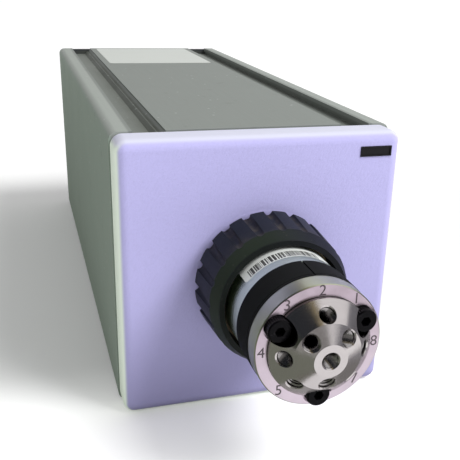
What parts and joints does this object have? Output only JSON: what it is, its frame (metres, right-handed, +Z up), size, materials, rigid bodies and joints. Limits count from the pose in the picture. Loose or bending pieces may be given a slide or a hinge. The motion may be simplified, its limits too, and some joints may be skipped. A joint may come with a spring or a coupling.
{
  "type": "motorised selector valve",
  "caption": "Square motorised valve drive with a quick-change selector valve head held by a lobed union nut; coned steel stator with threaded tube ports.",
  "frame": {"origin": "middle of the housing's flat underside", "axes": "+Z up, the valve head points along -Y, +X to the right as seen from the front"},
  "size_m": [0.1, 0.3217, 0.1],
  "materials": {
    "grey_paint": "satin powder coat",
    "plate_alloy": "machined",
    "steel": "turned",
    "bezel_plastic": "pebbled moulding",
    "window_plastic": "smoked gloss",
    "board_laminate": "solder mask",
    "collar_alloy": "turned",
    "gear_steel": "ground",
    "motor_alloy": "cast",
    "copper_winding": "enamelled wire",
    "black_plastic": "moulded",
    "can_sleeve": "shrink sleeve",
    "sink_alloy": "black anodised",
    "panel_paint": "satin powder coat",
    "magnet_core": "laminated",
    "disc_film": "printed film",
    "pod_alloy": "fine turned",
    "tag_plastic": "matt",
    "stator_steel": "fine turned",
    "black_screw": "black oxide",
    "ceramic": "lapped",
    "seal_plastic": "lapped",
    "nut_plastic": "moulded"
  },
  "bodies": {
    "housing": {"housing_extrusion": "grey_paint", "front_plate": "plate_alloy", "front_plate_screws": "steel", "front_bezel": "bezel_plastic", "bezel_screws": "steel", "status_window": "window_plastic", "status_board": "board_laminate", "valve_collar": "collar_alloy", "collar_screws": "steel", "output_bearings": "steel", "gearbox_case": "gear_steel", "gearbox_screws": "steel", "motor_case": "motor_alloy", "motor_screws": "steel", "motor_windings": "copper_winding", "motor_bearings": "steel", "encoder_sensor": "black_plastic", "encoder_cover": "black_plastic", "main_board": "board_laminate", "capacitors": "can_sleeve", "motor_driver": "sink_alloy", "rear_panel": "panel_paint", "rear_panel_screws": "steel", "bus_sockets": "black_plastic", "power_inlet": "black_plastic"},
    "output_drive": {"output_shaft": "steel", "planet_carrier": "gear_steel"},
    "planet_1": {"planet_gear_1": "gear_steel"},
    "planet_2": {"planet_gear_2": "gear_steel"},
    "planet_3": {"planet_gear_3": "gear_steel"},
    "motor_rotor": {"motor_shaft": "steel", "sun_pinion": "gear_steel", "rotor_core": "magnet_core", "encoder_disc": "disc_film"},
    "valve_head": {"pod_body": "pod_alloy", "locating_pin": "steel", "tag_ring": "tag_plastic", "stator_head": "stator_steel", "stator_screws": "black_screw", "stator_face": "ceramic", "thrust_bearing": "steel", "disc_spring_stack": "steel", "spring_spacer": "steel", "slip_ring": "seal_plastic"},
    "nut": {"union_nut": "nut_plastic"},
    "valve_rotor": {"rotor_shaft": "steel", "rotor_seal": "seal_plastic"}
  },
  "joints": [
    {"name": "head_draw", "type": "slide", "parent": "housing", "child": "valve_head", "axis": [0, -1, 0], "range_m": [0, 0.006]},
    {"name": "nut_turn", "type": "hinge", "parent": "valve_head", "child": "nut", "pos_m": [0, -0.1335, 0.05], "axis": [0, -1, 0], "range_deg": [0, 1080]},
    {"name": "output_turn", "type": "hinge", "parent": "housing", "child": "output_drive", "pos_m": [0, -0.1335, 0.05], "axis": [0, -1, 0], "continuous": true},
    {"name": "motor_turn", "type": "hinge", "parent": "housing", "child": "motor_rotor", "pos_m": [0, -0.098, 0.05], "axis": [0, -1, 0], "continuous": true},
    {"name": "rotor_turn", "type": "hinge", "parent": "valve_head", "child": "valve_rotor", "pos_m": [0, -0.1335, 0.05], "axis": [0, -1, 0], "continuous": true},
    {"name": "planet_1_turn", "type": "hinge", "parent": "output_drive", "child": "planet_1", "pos_m": [0, -0.1104, 0.0626], "axis": [0, -1, 0], "continuous": true},
    {"name": "planet_2_turn", "type": "hinge", "parent": "output_drive", "child": "planet_2", "pos_m": [-0.01091, -0.1104, 0.0437], "axis": [0, -1, 0], "continuous": true},
    {"name": "planet_3_turn", "type": "hinge", "parent": "output_drive", "child": "planet_3", "pos_m": [0.01091, -0.1104, 0.0437], "axis": [0, -1, 0], "continuous": true}
  ],
  "couplings": [
    {"joint": "nut_turn", "follows": "head_draw", "rad_per_m": 3141.6},
    {"joint": "motor_turn", "follows": "output_turn", "ratio": 4},
    {"joint": "rotor_turn", "follows": "output_turn", "ratio": 1},
    {"joint": "planet_1_turn", "follows": "output_turn", "ratio": -3},
    {"joint": "planet_2_turn", "follows": "output_turn", "ratio": -3},
    {"joint": "planet_3_turn", "follows": "output_turn", "ratio": -3}
  ]
}
